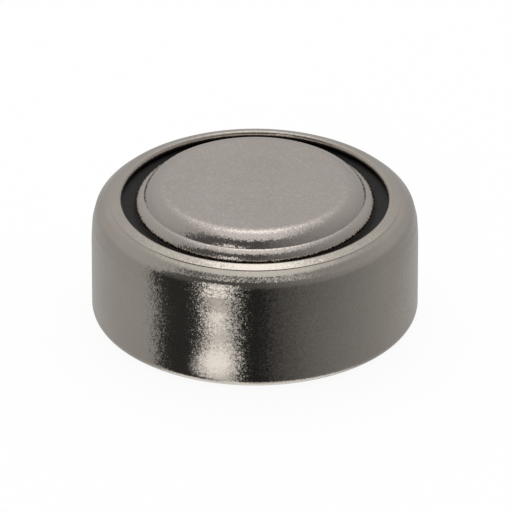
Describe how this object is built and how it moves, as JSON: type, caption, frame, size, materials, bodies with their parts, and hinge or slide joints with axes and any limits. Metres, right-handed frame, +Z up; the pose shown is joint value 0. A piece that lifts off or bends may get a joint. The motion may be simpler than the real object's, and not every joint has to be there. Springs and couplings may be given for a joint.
{
  "type": "alkaline button cell",
  "caption": "Round button cell: a flat-bottomed metal can crimped over a dark seal, with a stepped round cap standing out of its top.",
  "frame": {"origin": "centre of the can's flat bottom face, which the cell stands on", "axes": "+Z up along the axis of revolution, from the positive bottom to the negative cap; X and Y are any two directions across it"},
  "size_m": [0.0116, 0.0116, 0.005],
  "materials": {
    "can_nickel": "satin nickel plating over drawn steel",
    "cap_nickel": "satin nickel face of a clad sheet",
    "seal_nylon": "dark moulded nylon",
    "cathode_mix": "pressed manganese dioxide and graphite",
    "ring_steel": "plain pressed steel",
    "barrier_film": "cellulose film",
    "absorbent_pad": "nonwoven fibre",
    "zinc_gel": "zinc powder in a stiff gel"
  },
  "bodies": {
    "root": {"positive_can": "can_nickel", "negative_cap": "cap_nickel", "sealing_gasket": "seal_nylon", "cathode_pellet": "cathode_mix", "cathode_ring": "ring_steel", "barrier_film": "barrier_film", "absorbent_pad": "absorbent_pad", "zinc_gel": "zinc_gel"}
  },
  "joints": []
}
